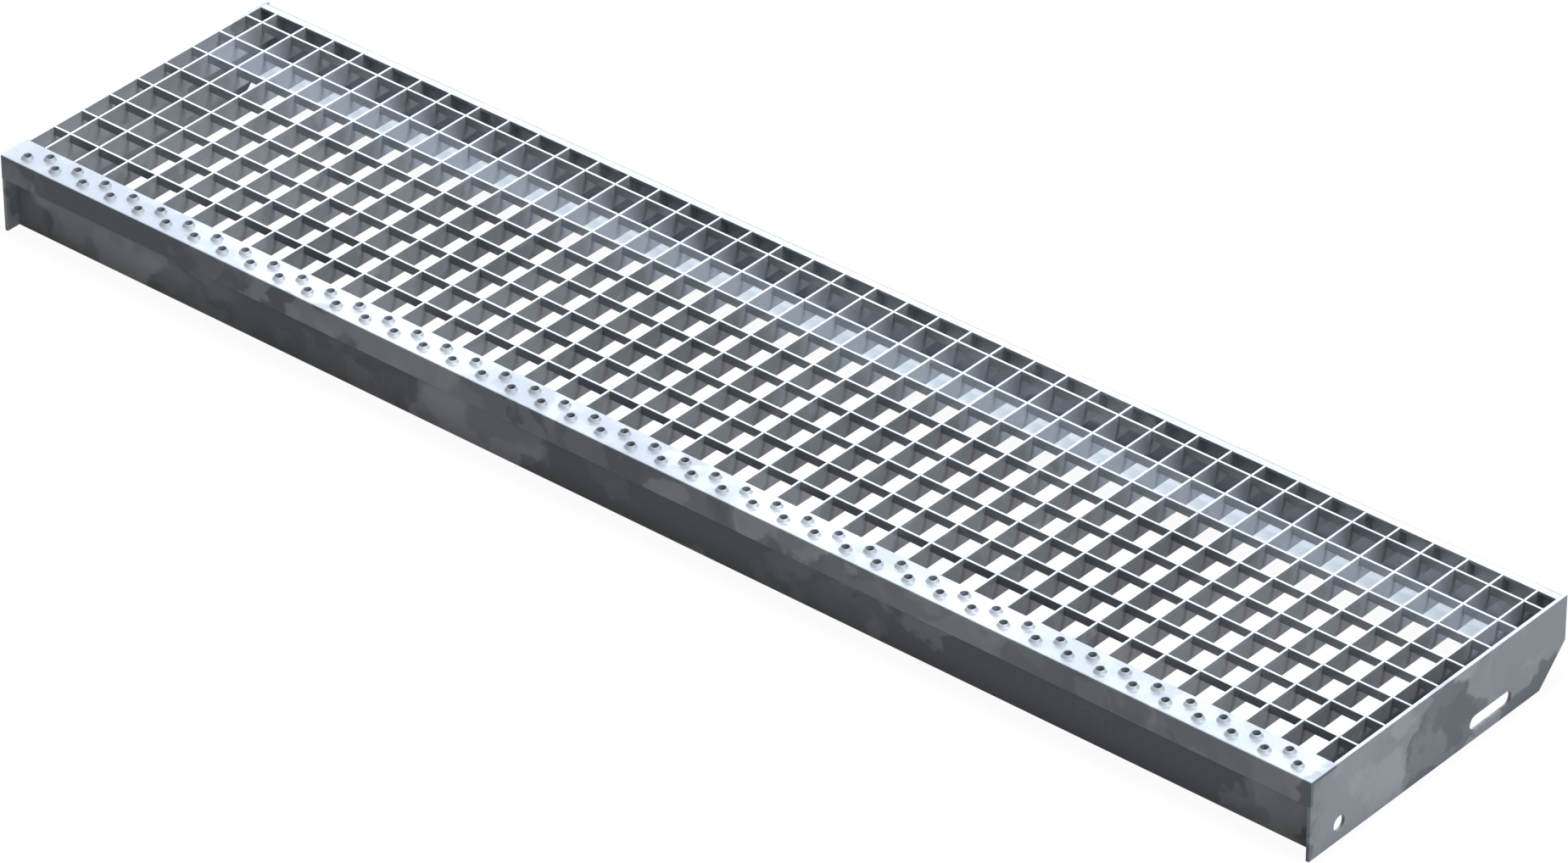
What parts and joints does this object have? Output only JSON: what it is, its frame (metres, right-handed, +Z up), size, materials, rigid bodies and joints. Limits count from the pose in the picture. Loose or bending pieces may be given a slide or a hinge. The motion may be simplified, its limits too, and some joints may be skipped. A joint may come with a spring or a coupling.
{
  "type": "metal stair tread",
  "caption": "Galvanised pressed-grating stair tread with perforated nosing, apron, rear channel and bolting side plates.",
  "frame": {"origin": "under the middle of the tread, level with the lower edges of the side plates", "axes": "+X along the tread to the right seen from the front, -Y to the nosing at the front, +Z up"},
  "size_m": [1.3, 0.305, 0.073],
  "materials": {
    "side_plates": "hot-dip galvanised, satin",
    "nosing": "hot-dip galvanised, satin",
    "folded_sheet": "hot-dip galvanised, satin",
    "grating": "hot-dip galvanised, satin"
  },
  "bodies": {
    "root": {"side_plate_left": "side_plates", "side_plate_right": "side_plates", "nosing": "nosing", "front_apron": "folded_sheet", "rear_profile": "folded_sheet", "bearing_bar_01": "grating", "bearing_bar_02": "grating", "bearing_bar_03": "grating", "bearing_bar_04": "grating", "bearing_bar_05": "grating", "bearing_bar_06": "grating", "bearing_bar_07": "grating", "bearing_bar_08": "grating", "bearing_bar_09": "grating", "bearing_bar_10": "grating", "bearing_bar_11": "grating", "bearing_bar_12": "grating", "bearing_bar_13": "grating", "bearing_bar_14": "grating", "bearing_bar_15": "grating", "bearing_bar_16": "grating", "bearing_bar_17": "grating", "bearing_bar_18": "grating", "bearing_bar_19": "grating", "bearing_bar_20": "grating", "bearing_bar_21": "grating", "bearing_bar_22": "grating", "bearing_bar_23": "grating", "bearing_bar_24": "grating", "bearing_bar_25": "grating", "bearing_bar_26": "grating", "bearing_bar_27": "grating", "bearing_bar_28": "grating", "bearing_bar_29": "grating", "bearing_bar_30": "grating", "bearing_bar_31": "grating", "bearing_bar_32": "grating", "bearing_bar_33": "grating", "bearing_bar_34": "grating", "bearing_bar_35": "grating", "bearing_bar_36": "grating", "bearing_bar_37": "grating", "bearing_bar_38": "grating", "bearing_bar_39": "grating", "bearing_bar_40": "grating", "bearing_bar_41": "grating", "cross_bar_1": "grating", "cross_bar_2": "grating", "cross_bar_3": "grating", "cross_bar_4": "grating", "cross_bar_5": "grating", "cross_bar_6": "grating", "cross_bar_7": "grating", "cross_bar_8": "grating"}
  },
  "joints": []
}
